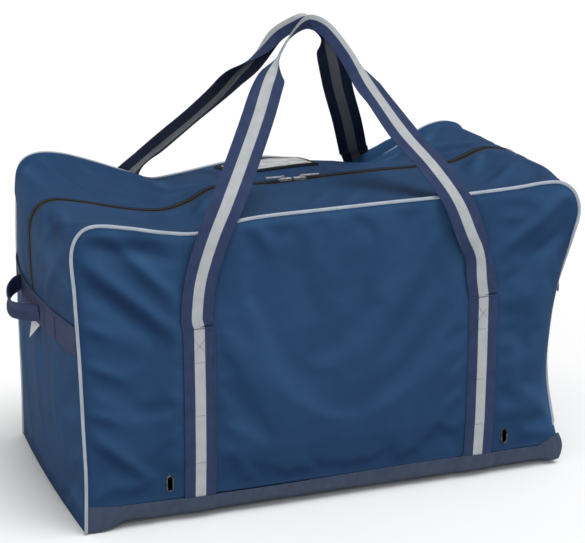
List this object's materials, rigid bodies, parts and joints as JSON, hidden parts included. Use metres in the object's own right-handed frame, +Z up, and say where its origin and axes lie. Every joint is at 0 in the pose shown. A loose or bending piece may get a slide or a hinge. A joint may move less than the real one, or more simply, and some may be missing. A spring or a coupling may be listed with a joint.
{
  "type": "hockey equipment bag",
  "caption": "Large soft carry bag for ice hockey kit, with a lengthwise top zip, vinyl base, two long webbing handles raised over the top and a grab loop on each end.",
  "frame": {"origin": "on the ground, under the middle of the bag", "axes": "+X along the bag to the right as seen from the front, +Y from the front to the back, +Z up; the front faces -Y"},
  "size_m": [1.0956, 0.5232, 0.838],
  "materials": {
    "panel_cloth": "blue coated polyester, fine plain weave, slight sheen",
    "base_vinyl": "grey-blue tarpaulin vinyl, satin, softly creased",
    "band_webbing": "navy webbing, ribbed weave",
    "strap_webbing": "navy webbing with a woven light grey middle stripe",
    "piping_vinyl": "silver-grey vinyl piping, satin",
    "zip_tape": "black coil zip tape",
    "eyelet_metal": "dark gunmetal plating",
    "slider_metal": "nickel plating",
    "window_binding": "black binding tape",
    "window_film": "clear soft film, slightly crumpled",
    "card_paper": "pale paper card",
    "label_cloth": "white woven label"
  },
  "bodies": {
    "root": {"base_panel": "base_vinyl", "front_panel": "panel_cloth", "back_panel": "panel_cloth", "piping_front": "piping_vinyl", "piping_back": "piping_vinyl", "left_end_lower": "panel_cloth", "left_end_band": "band_webbing", "left_end_upper_front": "panel_cloth", "left_zip_tape_front": "zip_tape", "left_end_upper_back": "panel_cloth", "left_zip_tape_back": "zip_tape", "right_end_lower": "panel_cloth", "right_end_band": "band_webbing", "right_end_upper_front": "panel_cloth", "right_zip_tape_front": "zip_tape", "right_end_upper_back": "panel_cloth", "right_zip_tape_back": "zip_tape", "strap_front_left": "strap_webbing", "vent_eyelet_front_left": "eyelet_metal", "strap_front_right": "strap_webbing", "vent_eyelet_front_right": "eyelet_metal", "strap_back_left": "strap_webbing", "vent_eyelet_back_left": "eyelet_metal", "strap_back_right": "strap_webbing", "vent_eyelet_back_right": "eyelet_metal", "care_label": "label_cloth"},
    "front_flap": {"top_flap_front": "panel_cloth", "top_zip_tape_front": "zip_tape"},
    "back_flap": {"top_flap_back": "panel_cloth", "top_zip_tape_back": "zip_tape", "id_window_frame": "window_binding", "id_window_film": "window_film", "id_card": "card_paper"},
    "handle_front": {"handle_front": "strap_webbing"},
    "handle_back": {"handle_back": "strap_webbing"},
    "grab_left": {"grab_loop_left": "band_webbing"},
    "grab_right": {"grab_loop_right": "band_webbing"},
    "slider_left": {"zip_slider_left": "slider_metal"},
    "slider_right": {"zip_slider_right": "slider_metal"},
    "pull_left": {"zip_pull_left": "slider_metal"},
    "pull_right": {"zip_pull_right": "slider_metal"}
  },
  "joints": [
    {"name": "front_flap_open", "type": "hinge", "parent": "root", "child": "front_flap", "pos_m": [0, -0.25, 0.548], "axis": [1, 0, 0], "range_deg": [0, 45]},
    {"name": "back_flap_open", "type": "hinge", "parent": "root", "child": "back_flap", "pos_m": [0, 0.25, 0.548], "axis": [-1, 0, 0], "range_deg": [0, 45]},
    {"name": "slider_left_travel", "type": "slide", "parent": "front_flap", "child": "slider_left", "axis": [-1, 0, 0], "range_m": [0, 0.36]},
    {"name": "slider_right_travel", "type": "slide", "parent": "front_flap", "child": "slider_right", "axis": [0.9978, 0, 0.0665], "range_m": [0, 0.36]},
    {"name": "pull_left_flip", "type": "hinge", "parent": "slider_left", "child": "pull_left", "pos_m": [-0.02, 0, 0.5397], "axis": [0, 1, 0], "range_deg": [0, 120]},
    {"name": "pull_right_flip", "type": "hinge", "parent": "slider_right", "child": "pull_right", "pos_m": [0.02, 0, 0.5397], "axis": [0, -1, 0], "range_deg": [0, 120]},
    {"name": "handle_front_swing", "type": "hinge", "parent": "root", "child": "handle_front", "pos_m": [0, -0.26, 0.355], "axis": [1, 0, 0], "range_deg": [0, 135]},
    {"name": "handle_back_swing", "type": "hinge", "parent": "root", "child": "handle_back", "pos_m": [0, 0.26, 0.355], "axis": [-1, 0, 0], "range_deg": [0, 135]},
    {"name": "grab_left_swing", "type": "hinge", "parent": "root", "child": "grab_left", "pos_m": [-0.4923, 0, 0.347], "axis": [0, 1, 0], "range_deg": [-40, 40]},
    {"name": "grab_right_swing", "type": "hinge", "parent": "root", "child": "grab_right", "pos_m": [0.4923, 0, 0.347], "axis": [0, -1, 0], "range_deg": [-40, 40]}
  ],
  "couplings": [
    {"joint": "back_flap_open", "follows": "front_flap_open", "ratio": 1},
    {"joint": "slider_left_travel", "follows": "front_flap_open", "m_per_rad": 0.4583},
    {"joint": "slider_right_travel", "follows": "front_flap_open", "m_per_rad": 0.4583}
  ]
}
